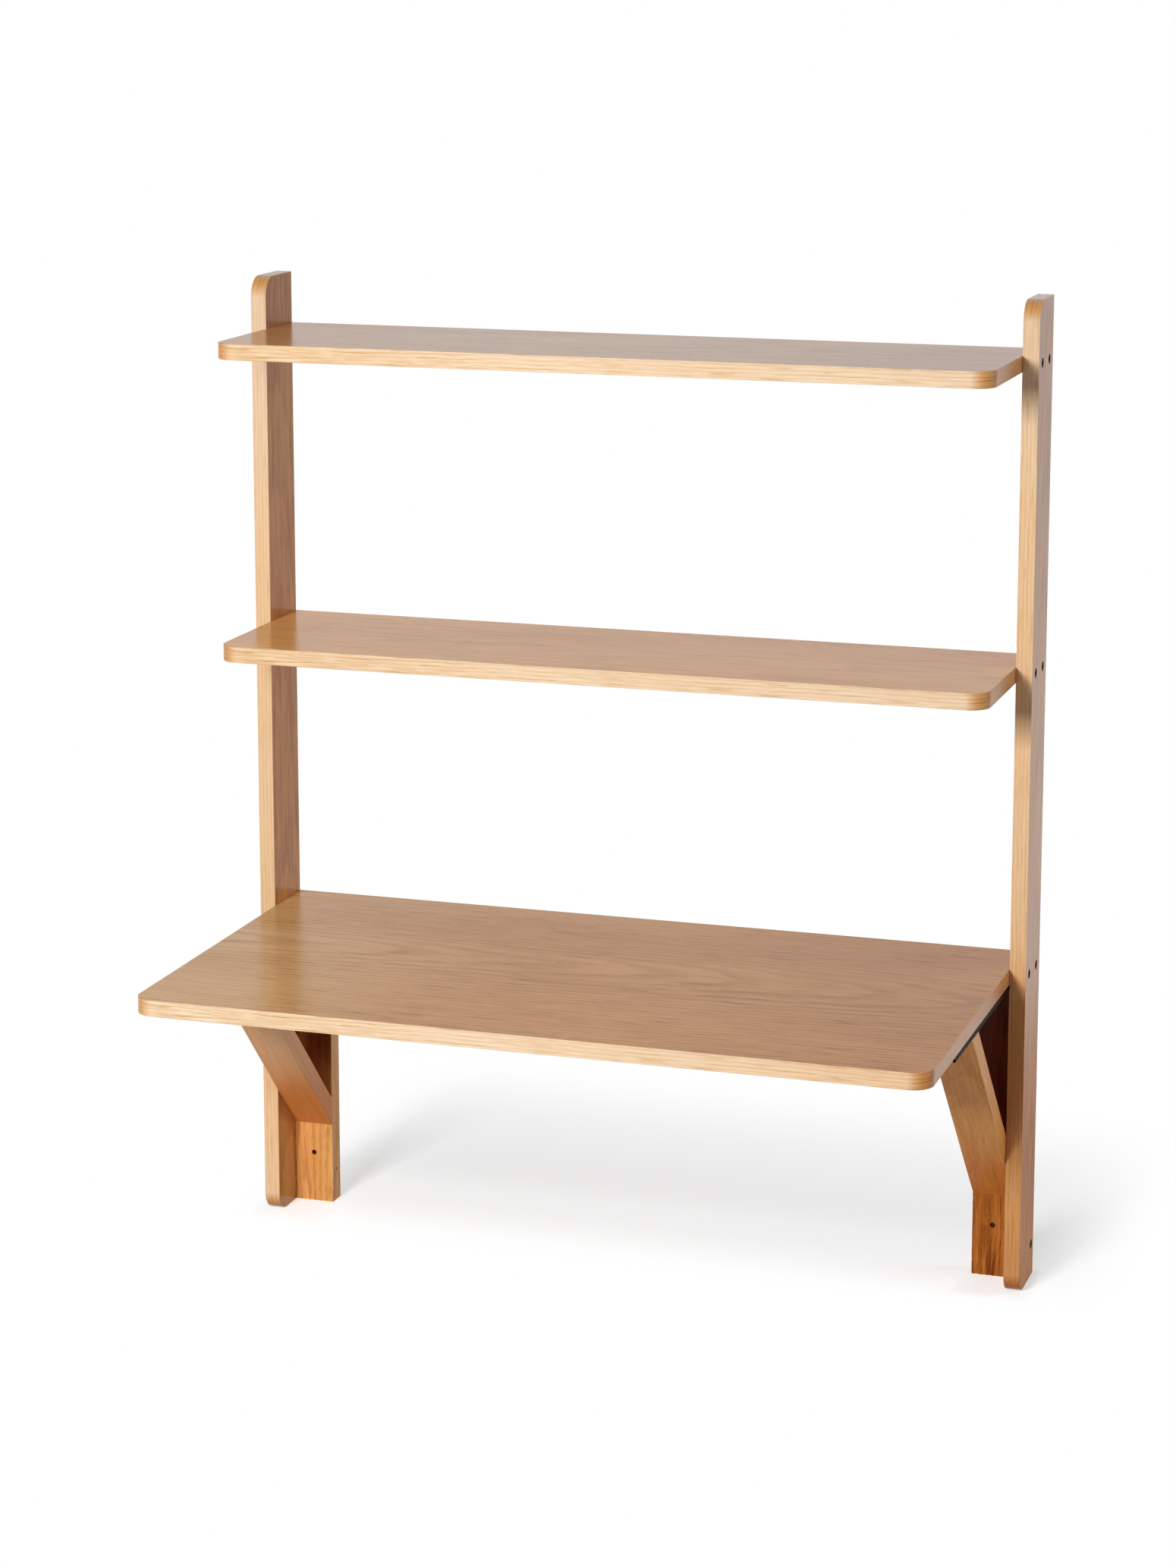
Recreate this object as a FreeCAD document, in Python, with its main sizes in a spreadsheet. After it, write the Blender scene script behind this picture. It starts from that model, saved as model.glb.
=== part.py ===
import FreeCAD
import Part
import Sketcher
import os
import re

# A wall desk: two uprights carry two shelves and a deep desk top. Under the desk, each upright
# has a wall batten and a slanting brace, and a steel rail ties the brace to the desk.
# X runs along the wall, Y into the wall, Z up. The wall is the plane Y = 0, and the origin lies
# midway between the two wall screw holes. Levels in the sheet count from the uprights' feet.

# Driving dimensions in millimetres, and shares without a unit
SIZES = {
    "overall_width": 1000,
    "overall_height": 1225,
    "board_thickness": 20,
    "edge_band": 1,
    "band_arris": 0.6,
    "upright_depth": 85,
    "upright_top_radius": 25,
    "upright_foot_radius": 25,
    "top_shelf_drop": 65,
    "middle_shelf_rise": 373,
    "desk_level": 414,
    "shelf_depth": 255,
    "desk_depth": 525,
    "shelf_corner_radius": 25,
    "desk_corner_radius": 25,
    "batten_width": 52,
    "batten_thickness": 27,
    "timber_arris": 1.2,
    "wall_screw_level": 66,
    "wall_screw_hole": 6,
    "brace_thickness": 26,
    "brace_foot_level": 106,
    "brace_reach": 305,
    "rail_width": 40,
    "rail_steel": 3,
    "rail_lip": 6.5,
    "rail_bend_radius": 3,
    "rail_overhang": 85,
    "rail_side_clearance": 0.3,
    "carcass_head": 12,
    "carcass_rim": 1.2,
    "carcass_collar": 7,
    "carcass_collar_length": 14,
    "carcass_core": 5,
    "carcass_length": 50,
    "carcass_socket_width": 4,
    "carcass_edge": 21,
    "batten_screw_level": 42,
    "batten_pilot": 4,
    "dowel_diameter": 8,
    "dowel_length": 32,
    "dowel_upright_depth": 12,
    "lower_dowel_height": 185,
    "upper_dowel_height": 335,
    "foot_screw_head": 9,
    "foot_screw_shank": 4.5,
    "foot_screw_length": 45,
    "foot_screw_socket_width": 4,
    "foot_screw_spacing": 24,
    "foot_screw_height_share": 0.7,
    "rail_screw_head": 8,
    "rail_screw_shank": 4,
    "rail_screw_length": 16,
    "rail_screw_socket_width": 3,
    "rail_screw_inset": 25,
    "head_screw_head": 8,
    "head_screw_shank": 4,
    "head_screw_length": 20,
    "head_screw_socket_width": 3,
    "head_screw_spacing": 20,
    "head_screw_depth_share": 0.25,
    "keyhole_drop": 35,
    "keyhole_plate_length": 46,
    "keyhole_plate_steel": 2.5,
    "keyhole_plate_margin": 2,
    "keyhole_entry": 9,
    "keyhole_slot": 4.5,
    "keyhole_slot_rise": 9,
    "keyhole_pocket_depth": 9,
    "keyhole_pocket_room": 1.5,
    "plate_screw_head": 6,
    "plate_screw_shank": 3,
    "plate_screw_length": 16,
    "plate_screw_socket_width": 2,
    "plate_screw_inset": 5,
    "fit_clearance": 0.1,
    "overrun": 5,
}

doc = FreeCAD.newDocument("WallDesk")
sheet = doc.addObject("Spreadsheet::Sheet", "Sizes")
for row, (alias, size) in enumerate(SIZES.items(), start=1):
    sheet.set(f"A{row}", alias)
    sheet.set(f"B{row}", str(size))
    sheet.setAlias(f"B{row}", alias)
doc.recompute()

# Places and lengths that follow from the driving dimensions
INNER_HALF = "(overall_width / 2 - board_thickness)"
TOP_SHELF_LEVEL = "(overall_height - top_shelf_drop)"
MIDDLE_SHELF_LEVEL = "(desk_level + middle_shelf_rise)"
KEYHOLE_LEVEL = "(overall_height - keyhole_drop)"
DESK_UNDERSIDE = "(desk_level - board_thickness)"
BRACE_RISE = f"({DESK_UNDERSIDE} - brace_foot_level)"
BRACE_RUN = "(brace_reach - batten_thickness)"
BRACE_LENGTH = f"sqrt({BRACE_RISE} ^ 2 + {BRACE_RUN} ^ 2)"
BRACE_FOOT_CUT = f"(brace_thickness * {BRACE_LENGTH} / {BRACE_RUN})"
BRACE_HEAD_CUT = f"(brace_thickness * {BRACE_LENGTH} / {BRACE_RISE})"
BRACE_HEAD_REAR = f"(brace_reach - {BRACE_HEAD_CUT})"
RAIL_FRONT = "(brace_reach + rail_overhang)"
RAIL_LENGTH = f"({RAIL_FRONT} - batten_thickness)"
PLATE_WIDTH = "(board_thickness - 2 * keyhole_plate_margin)"
SIDES = {"left": -1, "right": 1}
INWARD = {
    "left": FreeCAD.Rotation(FreeCAD.Vector(0, 1, 0), 90),
    "right": FreeCAD.Rotation(FreeCAD.Vector(0, 1, 0), -90),
}
UPWARD = FreeCAD.Rotation()
DOWNWARD = FreeCAD.Rotation(FreeCAD.Vector(1, 0, 0), 180)
FORWARD = FreeCAD.Rotation(FreeCAD.Vector(1, 0, 0), 90)
nodes = []


def formula(text):
    # Point every size named in the text at its cell of the sheet
    return re.sub(r"[a-z_]+", lambda word: f"Sizes.{word[0]}" if word[0] in SIZES else word[0], text)


def value(text):
    return float(sheet.evalExpression(formula(text)))


def bind(item, name, text):
    item.setExpression(name, formula(text))


def level(text):
    # Height above the origin of something whose level counts from the uprights' feet
    return f"({text}) - wall_screw_level"


def place(item, x, y, z, turn=UPWARD):
    item.Placement = FreeCAD.Placement(FreeCAD.Vector(), turn)
    for axis, text in zip("xyz", (x, y, z)):
        bind(item, f"Placement.Base.{axis}", text)


def keep(item, label):
    item.Label = label
    nodes.append(item)
    return item


def new_body(name):
    return doc.addObject("PartDesign::Body", name)


def new_sketch(body, role, name):
    sketch = body.newObject("Sketcher::SketchObject", name)
    plane = next(item for item in body.Origin.OriginFeatures if item.Role == role)
    sketch.AttachmentSupport = (plane, [""])
    sketch.MapMode = "FlatFace"
    return sketch


def hold(sketch, index, point, kind, text):
    # Tie one coordinate of a sketch point to a size, on whichever side of the axis it lies
    amount = value(text)
    if amount == 0:
        axis = -2 if kind == "DistanceX" else -1
        sketch.addConstraint(Sketcher.Constraint("PointOnObject", index, point, axis))
        return
    if amount > 0:
        number = sketch.addConstraint(Sketcher.Constraint(kind, -1, 1, index, point, amount))
        bind(sketch, f"Constraints[{number}]", text)
    else:
        number = sketch.addConstraint(Sketcher.Constraint(kind, index, point, -1, 1, -amount))
        bind(sketch, f"Constraints[{number}]", f"-({text})")


def polygon(body, role, name, points):
    sketch = new_sketch(body, role, name)
    spots = [FreeCAD.Vector(value(x), value(y), 0) for x, y in points]
    following = spots[1:] + spots[:1]
    for start, end in zip(spots, following):
        sketch.addGeometry(Part.LineSegment(start, end), False)
    for index in range(len(spots)):
        after = (index + 1) % len(spots)
        sketch.addConstraint(Sketcher.Constraint("Coincident", index, 2, after, 1))
    for index, (x, y) in enumerate(points):
        hold(sketch, index, 1, "DistanceX", x)
        hold(sketch, index, 1, "DistanceY", y)
    return sketch


def rectangle(body, role, name, low, high):
    corners = [low, (high[0], low[1]), high, (low[0], high[1])]
    return polygon(body, role, name, corners)


def circle(body, role, name, centre, diameter):
    sketch = new_sketch(body, role, name)
    spot = FreeCAD.Vector(value(centre[0]), value(centre[1]), 0)
    sketch.addGeometry(Part.Circle(spot, FreeCAD.Vector(0, 0, 1), value(diameter) / 2), False)
    hold(sketch, 0, 3, "DistanceX", centre[0])
    hold(sketch, 0, 3, "DistanceY", centre[1])
    number = sketch.addConstraint(Sketcher.Constraint("Diameter", 0, value(diameter)))
    bind(sketch, f"Constraints[{number}]", diameter)
    return sketch


def pad(body, sketch, length):
    feature = body.newObject("PartDesign::Pad", f"{sketch.Name}Pad")
    feature.Profile = sketch
    bind(feature, "Length", length)
    sketch.Visibility = False
    doc.recompute()
    return feature


def cut_through(body, sketch):
    # A pocket through the whole body must take material away
    before = body.Shape.Volume
    feature = body.newObject("PartDesign::Pocket", f"{sketch.Name}Pocket")
    feature.Profile = sketch
    feature.Type = "ThroughAll"
    feature.Midplane = True
    doc.recompute()
    if body.Shape.Volume >= before:
        raise RuntimeError(f"{feature.Name} cuts nothing")
    return feature


def sink(body, sketch, depth):
    # A pocket from the face at the sketch, along the sketch's normal
    before = body.Shape.Volume
    feature = body.newObject("PartDesign::Pocket", f"{sketch.Name}Pocket")
    feature.Profile = sketch
    feature.Reversed = True
    bind(feature, "Length", depth)
    doc.recompute()
    if body.Shape.Volume >= before:
        raise RuntimeError(f"{feature.Name} cuts nothing")
    return feature


def round_edges(body, feature, radius, chosen):
    # Round the edges of a feature whose middle point is the chosen one
    names = []
    for number, edge in enumerate(feature.Shape.Edges, start=1):
        if chosen(edge.CenterOfMass):
            names.append(f"Edge{number}")
    fillet = body.newObject("PartDesign::Fillet", f"{feature.Name}Round")
    fillet.Base = (feature, names)
    bind(fillet, "Radius", radius)
    doc.recompute()
    return fillet


def near(first, second):
    return abs(first - second) < value("fit_clearance")


def spin(body, sketch):
    feature = body.newObject("PartDesign::Revolution", f"{sketch.Name}Turned")
    feature.Profile = sketch
    feature.ReferenceAxis = (sketch, ["V_Axis"])
    feature.Angle = 360
    doc.recompute()
    return feature


def board_outline(name, depth, radius, inset):
    # Plan of a shelf or the desk: square at the wall, rounded at the two front corners
    body = new_body(name)
    half = f"({INNER_HALF} - {inset})"
    front = f"({depth} - {inset})"
    plan = rectangle(body, "XY_Plane", f"{name}Plan", (f"-{half}", f"-{front}"), (half, "0"))
    slab = pad(body, plan, "board_thickness")
    front_side = -value(front)
    middle = value("board_thickness") / 2
    corner_radius = f"{radius} - {inset}"
    rounded = round_edges(body, slab, corner_radius, lambda spot: near(spot.y, front_side)
                          and near(spot.z, middle) and not near(spot.x, 0))
    if inset == "0":
        upper_side = value("board_thickness")
        round_edges(body, rounded, "band_arris", lambda spot: not near(spot.y, 0)
                    and (near(spot.z, 0) or near(spot.z, upper_side)))
    return body


def upright_outline(name, side, inset):
    # Side view of an upright: square at the wall, rounded at the top and foot in front
    body = new_body(name)
    front = f"(upright_depth - {inset})"
    top = f"(overall_height - {inset})"
    view = rectangle(body, "YZ_Plane", f"{name}View", (f"-{front}", inset), ("0", top))
    slab = pad(body, view, "board_thickness")
    front_side = -value(front)
    top_side = value(top)
    foot_side = value(inset)
    upper = round_edges(body, slab, f"upright_top_radius - {inset}",
                        lambda spot: near(spot.y, front_side) and near(spot.z, top_side))
    lower = round_edges(body, upper, f"upright_foot_radius - {inset}",
                        lambda spot: near(spot.y, front_side) and near(spot.z, foot_side))
    if inset == "0":
        far_side = value("board_thickness")
        round_edges(body, lower, "band_arris", lambda spot: not near(spot.y, 0)
                    and (near(spot.x, 0) or near(spot.x, far_side)))
    inner_face = INNER_HALF if side > 0 else "-overall_width / 2"
    place(body, inner_face, "0", level("0"))
    return body


def fastener(name, profile, socket, socket_depth):
    # A turned screw with its head at the origin, driven along +Z, with a hexagon socket
    body = new_body(name)
    spin(body, polygon(body, "XZ_Plane", f"{name}Profile", profile))
    corner = f"({socket} / sqrt(3))"
    half = f"({socket} / 2)"
    hexagon = [(corner, "0"), (f"{corner} / 2", half), (f"-{corner} / 2", half),
               (f"-{corner}", "0"), (f"-{corner} / 2", f"-{half}"), (f"{corner} / 2", f"-{half}")]
    sink(body, polygon(body, "XY_Plane", f"{name}Socket", hexagon), socket_depth)
    return body


def carcass_profile(room, top):
    # Half section of a connecting screw: flat rim, cone, thick collar, threaded core and point
    head = f"carcass_head / 2 + {room}"
    collar = f"carcass_collar / 2 + {room}"
    core = f"carcass_core / 2 + {room}"
    seat = "carcass_rim + (carcass_head - carcass_collar) / 2"
    shoulder = f"{seat} + carcass_collar_length + {room}"
    end = f"carcass_length + {room}"
    return [("0", top), (head, top), (head, "carcass_rim"), (collar, seat), (collar, shoulder),
            (core, shoulder), (core, f"{end} - carcass_core / 2"), ("0", end)]


def wood_screw_profile(kind, room, top):
    # Half section of a countersunk wood screw: cone, shank and point
    head = f"{kind}_head / 2 + {room}"
    shank = f"{kind}_shank / 2 + {room}"
    seat = f"({kind}_head - {kind}_shank) / 2"
    end = f"{kind}_length + {room}"
    rim = [("0", top), (head, top)]
    if top != "0":
        rim.append((head, "0"))
    return rim + [(shank, seat), (shank, f"{end} - {kind}_shank"), ("0", end)]


def bore(name, profile):
    # The hole that a screw sits in, with room all round and open past the surface
    body = new_body(name)
    spin(body, polygon(body, "XZ_Plane", f"{name}Profile", profile))
    return body


def copies(name, source, places):
    links = []
    for number, (x, y, z, turn) in enumerate(places, start=1):
        link = doc.addObject("App::Link", f"{name}{number}")
        link.LinkedObject = source
        place(link, x, y, z, turn)
        links.append(link)
    group = doc.addObject("Part::Compound", name)
    group.Links = links
    return group


def fixed_with(label, source, hole, places):
    # One set of equal fasteners and the holes that they sit in
    keep(copies(f"{label}_set", source, places), label)
    return copies(f"{label}_holes", hole, places)


def carve(label, blank, tools):
    # The finished piece: its blank with every hole and recess taken out
    tool = tools[0]
    if len(tools) > 1:
        tool = doc.addObject("Part::MultiFuse", f"{label}_tools")
        tool.Shapes = tools
    piece = doc.addObject("Part::Cut", f"{label}_piece")
    piece.Base = blank
    piece.Tool = tool
    return keep(piece, label)


def take_away(name, blank, tool):
    rest = doc.addObject("Part::Cut", name)
    rest.Base = blank
    rest.Tool = tool
    return rest


def cylinder(name, diameter, length, x, y, z, turn):
    rod = doc.addObject("Part::Cylinder", name)
    bind(rod, "Radius", f"({diameter}) / 2")
    bind(rod, "Height", length)
    place(rod, x, y, z, turn)
    return rod


def block(name, length, width, height, x, y, z):
    box = doc.addObject("Part::Box", name)
    bind(box, "Length", length)
    bind(box, "Width", width)
    bind(box, "Height", height)
    place(box, x, y, z)
    return box


ROOM = "fit_clearance"
PAST = "-overrun"
carcass_screw = fastener("CarcassScrew", carcass_profile("0", "0"), "carcass_socket_width", "carcass_rim * 2")
carcass_bore = bore("CarcassBore", carcass_profile(ROOM, PAST))
wood_screws = {}
wood_bores = {}
for kind in ("foot_screw", "rail_screw", "head_screw", "plate_screw"):
    title = kind.title().replace("_", "")
    socket_depth = f"({kind}_head - {kind}_shank) / 2"
    shape = wood_screw_profile(kind, "0", "0")
    wood_screws[kind] = fastener(title, shape, f"{kind}_socket_width", socket_depth)
    wood_bores[kind] = bore(f"{title}Bore", wood_screw_profile(kind, ROOM, PAST))

# Connecting screws go in from the uprights' outer faces, two at each end of every board
upright_holes = []
board_holes = {}
board_levels = {
    "top_shelf": TOP_SHELF_LEVEL,
    "middle_shelf": MIDDLE_SHELF_LEVEL,
    "desk_top": "desk_level",
}
for board, top in board_levels.items():
    spots = []
    for side_name, side in SIDES.items():
        for setback in ("upright_depth - carcass_edge", "carcass_edge"):
            middle = level(f"{top} - board_thickness / 2")
            spots.append((f"{side} * overall_width / 2", f"-({setback})", middle, INWARD[side_name]))
    board_holes[board] = fixed_with(f"{board}_screws", carcass_screw, carcass_bore, spots)
    upright_holes.append(board_holes[board])

# Shelves and desk top, each with an edge band round its front and ends
board_plans = {
    "top_shelf": ("shelf_depth", "shelf_corner_radius"),
    "middle_shelf": ("shelf_depth", "shelf_corner_radius"),
    "desk_top": ("desk_depth", "desk_corner_radius"),
}
board_blanks = {}
for board, (depth, radius) in board_plans.items():
    title = board.title().replace("_", "")
    core = board_outline(f"{title}Core", depth, radius, "edge_band")
    outline = board_outline(f"{title}Outline", depth, radius, "0")
    for body in (core, outline):
        place(body, "0", "0", level(f"{board_levels[board]} - board_thickness"))
    board_blanks[board] = core
    band = take_away(f"{title}Band", outline, core)
    carve(f"{board}_edge_band", band, [board_holes[board]])

# Steel rails under the desk: a flat leg below the desk and a lip folded down on the outer side
rail_screw_rear = "(batten_thickness + rail_screw_inset)"
rail_screw_front = f"({RAIL_FRONT} - rail_screw_inset)"
rail_screw_middle = f"(({rail_screw_rear} + {BRACE_HEAD_REAR}) / 2)"
rail_outer = f"({INNER_HALF} - rail_side_clearance)"
rail_middle = f"({rail_outer} - rail_width / 2)"
head_screw_depth = f"({BRACE_HEAD_REAR} + head_screw_depth_share * {BRACE_HEAD_CUT})"
desk_tools = [board_holes["desk_top"]]
rail_notches = {}
head_holes = {}


def rail_bar(title, side, outer):
    body = new_body(title)
    inner = f"-{side} * rail_width"
    fold = f"-{side} * rail_steel"
    section = [(outer, "0"), (inner, "0"), (inner, "-rail_steel"), (fold, "-rail_steel"),
               (fold, "-rail_lip"), (outer, "-rail_lip")]
    bar = pad(body, polygon(body, "XZ_Plane", f"{title}Section", section), RAIL_LENGTH)
    place(body, f"{side} * {rail_outer}", "-batten_thickness", level(DESK_UNDERSIDE))
    return body, bar


for side_name, side in SIDES.items():
    title = side_name.title()
    rail, bar = rail_bar(f"{title}Rail", side, "0")
    round_edges(rail, bar, "rail_bend_radius", lambda spot: near(spot.x, 0) and near(spot.z, 0))
    # The brace's notch for the rail is open on the outer side
    past_end = f"{side} * (rail_side_clearance + overrun)"
    rail_notches[side_name], _ = rail_bar(f"{title}RailNotch", side, past_end)

    across = f"{side} * {rail_middle}"
    under_leg = level(f"{DESK_UNDERSIDE} - rail_steel")
    desk_spots = []
    for setback in (rail_screw_rear, rail_screw_middle, rail_screw_front):
        desk_spots.append((across, f"-{setback}", under_leg, UPWARD))
    desk_hole = fixed_with(f"{side_name}_rail_desk_screws", wood_screws["rail_screw"],
                           wood_bores["rail_screw"], desk_spots)
    desk_tools.append(desk_hole)

    head_spots = []
    for sway in (-1, 1):
        spread = f"{across} + {sway} * head_screw_spacing / 2"
        head_spots.append((spread, f"-{head_screw_depth}", level(DESK_UNDERSIDE), DOWNWARD))
    head_holes[side_name] = fixed_with(f"{side_name}_rail_brace_screws", wood_screws["head_screw"],
                                       wood_bores["head_screw"], head_spots)
    carve(f"{side_name}_desk_rail", rail, [desk_hole, head_holes[side_name]])

for board in board_plans:
    carve(board, board_blanks[board], desk_tools if board == "desk_top" else [board_holes[board]])

# Battens on the wall, and braces from the battens up to the rails
brace_view = [("-batten_thickness", "brace_foot_level"), ("-brace_reach", DESK_UNDERSIDE),
              (f"-{BRACE_HEAD_REAR}", DESK_UNDERSIDE),
              ("-batten_thickness", f"brace_foot_level + {BRACE_FOOT_CUT}")]
foot_screw_level = f"(brace_foot_level + foot_screw_height_share * {BRACE_FOOT_CUT})"
batten_middle = f"({INNER_HALF} - batten_width / 2)"
batten_tools = {}
for side_name, side in SIDES.items():
    title = side_name.title()
    near_edge = f"({INNER_HALF} - batten_width)" if side > 0 else f"-{INNER_HALF}"
    across = f"{side} * {batten_middle}"
    joint_face = f"{side} * {INNER_HALF}"

    foot_spots = []
    for sway in (-1, 1):
        spread = f"{across} + {sway} * foot_screw_spacing / 2"
        foot_spots.append((spread, "0", level(foot_screw_level), FORWARD))
    foot_hole = fixed_with(f"{side_name}_brace_foot_screws", wood_screws["foot_screw"],
                           wood_bores["foot_screw"], foot_spots)

    side_spot = (f"{side} * overall_width / 2", "-batten_thickness / 2", level("batten_screw_level"),
                 INWARD[side_name])
    side_hole = fixed_with(f"{side_name}_batten_screw", carcass_screw, carcass_bore, [side_spot])
    pilot = cylinder(f"{title}BattenPilot", "batten_pilot", "batten_width + overrun", joint_face,
                     "-batten_thickness / 2", level("batten_screw_level"), INWARD[side_name])
    wall_hole = cylinder(f"{title}WallHole", "wall_screw_hole", "batten_thickness + 2 * overrun", across,
                         "overrun", level("wall_screw_level"), FORWARD)

    dowels = []
    dowel_holes = []
    for dowel_name in ("lower_dowel", "upper_dowel"):
        height = level(f"{dowel_name}_height")
        dowel_title = f"{title}{dowel_name.title().replace('_', '')}"
        outer_end = f"{side} * ({INNER_HALF} + dowel_upright_depth)"
        dowels.append(cylinder(dowel_title, "dowel_diameter", "dowel_length", outer_end,
                               "-batten_thickness / 2", height, INWARD[side_name]))
        hole_end = f"{side} * ({INNER_HALF} + dowel_upright_depth + fit_clearance)"
        dowel_holes.append(cylinder(f"{dowel_title}Hole", "dowel_diameter + 2 * fit_clearance",
                                    "dowel_length + 2 * fit_clearance", hole_end,
                                    "-batten_thickness / 2", height, INWARD[side_name]))
    dowel_pair = doc.addObject("Part::Compound", f"{title}Dowels")
    dowel_pair.Links = dowels
    keep(dowel_pair, f"{side_name}_batten_dowels")

    stick = new_body(f"{title}Batten")
    face = rectangle(stick, "XY_Plane", f"{title}BattenEnd", ("0", "-batten_thickness"),
                     ("batten_width", "0"))
    post = pad(stick, face, DESK_UNDERSIDE)
    half_height = value(DESK_UNDERSIDE) / 2
    round_edges(stick, post, "timber_arris", lambda spot: near(spot.z, half_height))
    place(stick, near_edge, "0", level("0"))
    carve(f"{side_name}_wall_batten", stick, [foot_hole, side_hole, pilot, wall_hole] + dowel_holes)

    slant = new_body(f"{title}Brace")
    strut = pad(slant, polygon(slant, "YZ_Plane", f"{title}BraceView", brace_view), "batten_width")
    foot_side = -value("batten_thickness")
    head_side = value(DESK_UNDERSIDE)
    round_edges(slant, strut, "timber_arris", lambda spot: not near(spot.y, foot_side)
                and not near(spot.z, head_side))
    place(slant, near_edge, "0", level("0"))
    notched = take_away(f"{title}NotchedBrace", slant, rail_notches[side_name])
    carve(f"{side_name}_brace", notched, [foot_hole, head_holes[side_name]])
    batten_tools[side_name] = [side_hole] + dowel_holes

# Keyhole plates let into the uprights' rear edges take the two upper wall screws
plate_half = "(keyhole_plate_length / 2)"
plate_screw_reach = f"({plate_half} - plate_screw_inset)"
plate_inside = f"({PLATE_WIDTH} / 2 - keyhole_pocket_room)"
pocket_half = f"({plate_screw_reach} - plate_screw_head / 2 - keyhole_pocket_room)"
keyhole_bottom = "(-keyhole_slot_rise / 2)"
keyhole_top = "(keyhole_slot_rise / 2)"
for side_name, side in SIDES.items():
    title = side_name.title()
    middle = f"{side} * (overall_width - board_thickness) / 2"
    height = level(KEYHOLE_LEVEL)
    plate = new_body(f"{title}Plate")
    low = (f"-{PLATE_WIDTH} / 2", f"-{plate_half}")
    high = (f"{PLATE_WIDTH} / 2", plate_half)
    pad(plate, rectangle(plate, "XZ_Plane", f"{title}PlateFace", low, high), "keyhole_plate_steel")
    entry = circle(plate, "XZ_Plane", f"{title}PlateEntry", ("0", keyhole_bottom), "keyhole_entry")
    cut_through(plate, entry)
    slot_end = circle(plate, "XZ_Plane", f"{title}PlateSlotEnd", ("0", keyhole_top), "keyhole_slot")
    cut_through(plate, slot_end)
    slot_low = ("-keyhole_slot / 2", keyhole_bottom)
    slot_high = ("keyhole_slot / 2", keyhole_top)
    cut_through(plate, rectangle(plate, "XZ_Plane", f"{title}PlateSlot", slot_low, slot_high))
    place(plate, middle, "0", height)

    plate_spots = []
    for sway in (-1, 1):
        rise = f"{KEYHOLE_LEVEL} + {sway} * {plate_screw_reach}"
        plate_spots.append((middle, "0", level(rise), FORWARD))
    plate_holes = fixed_with(f"{side_name}_keyhole_screws", wood_screws["plate_screw"],
                             wood_bores["plate_screw"], plate_spots)
    carve(f"{side_name}_keyhole_plate", plate, [plate_holes])

    recess = block(f"{title}PlateRecess", PLATE_WIDTH, "keyhole_plate_steel + overrun",
                   "keyhole_plate_length", f"{middle} - {PLATE_WIDTH} / 2", "-keyhole_plate_steel",
                   f"{height} - {plate_half}")
    pocket = block(f"{title}HeadPocket", f"2 * {plate_inside}", "keyhole_pocket_depth + overrun",
                   f"2 * {pocket_half}", f"{middle} - {plate_inside}", "-keyhole_pocket_depth",
                   f"{height} - {pocket_half}")
    tools = upright_holes + batten_tools[side_name] + [plate_holes, recess, pocket]

    core = upright_outline(f"{title}UprightCore", side, "edge_band")
    outline = upright_outline(f"{title}UprightOutline", side, "0")
    carve(f"{side_name}_upright", core, tools)
    band = take_away(f"{title}UprightBand", outline, core)
    keep(band, f"{side_name}_upright_edge_band")

doc.recompute()
for item in doc.Objects:
    if "Invalid" in item.State or "Error" in item.State:
        raise RuntimeError(f"{item.Label} failed: {item.State}")
for item in nodes:
    if item.Shape.isNull() or not item.Shape.isValid():
        raise RuntimeError(f"{item.Label} has no valid shape")

os.makedirs("parts", exist_ok=True)
for item in nodes:
    item.Shape.exportStep(f"parts/{item.Label}.step")
    print(f"{item.Label}: {len(item.Shape.Solids)} solids, {item.Shape.Volume:.0f} cubic mm")
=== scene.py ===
import math

import bpy
from mathutils import Euler, Matrix, Vector


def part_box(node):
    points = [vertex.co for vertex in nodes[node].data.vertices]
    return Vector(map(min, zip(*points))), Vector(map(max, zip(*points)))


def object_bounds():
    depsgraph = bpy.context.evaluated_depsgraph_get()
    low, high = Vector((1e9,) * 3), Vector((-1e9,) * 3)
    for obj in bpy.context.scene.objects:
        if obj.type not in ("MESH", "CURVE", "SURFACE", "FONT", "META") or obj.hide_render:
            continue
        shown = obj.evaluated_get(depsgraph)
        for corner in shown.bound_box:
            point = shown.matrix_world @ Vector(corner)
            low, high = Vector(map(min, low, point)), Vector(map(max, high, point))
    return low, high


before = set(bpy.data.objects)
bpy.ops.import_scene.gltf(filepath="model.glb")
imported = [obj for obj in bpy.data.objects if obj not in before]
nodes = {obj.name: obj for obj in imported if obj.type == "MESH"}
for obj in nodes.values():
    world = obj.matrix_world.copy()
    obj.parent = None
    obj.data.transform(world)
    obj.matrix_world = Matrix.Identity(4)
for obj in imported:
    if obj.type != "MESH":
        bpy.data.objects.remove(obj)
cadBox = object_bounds()
scene = bpy.context.scene
print("frame loaded:", len(nodes), "nodes")


# small helpers for node trees

def feed(tree, socket, value):
    # a socket is linked, anything else becomes the default
    if isinstance(value, bpy.types.NodeSocket):
        tree.links.new(value, socket)
    else:
        socket.default_value = value


def addNode(tree, kind, values=None, **settings):
    node = tree.nodes.new(kind)
    for name, setting in settings.items():
        setattr(node, name, setting)
    for name, value in (values or {}).items():
        feed(tree, node.inputs[name], value)
    return node


def maths(tree, operation, *values, clamp=False):
    node = addNode(tree, "ShaderNodeMath", operation=operation, use_clamp=clamp)
    for slot, value in enumerate(values):
        feed(tree, node.inputs[slot], value)
    return node.outputs[0]


def vectorMaths(tree, operation, *values):
    node = addNode(tree, "ShaderNodeVectorMath", operation=operation)
    for slot, value in enumerate(values):
        feed(tree, node.inputs[slot], value)
    return node.outputs[0]


def split(tree, vector):
    return addNode(tree, "ShaderNodeSeparateXYZ", {"Vector": vector}).outputs


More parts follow.
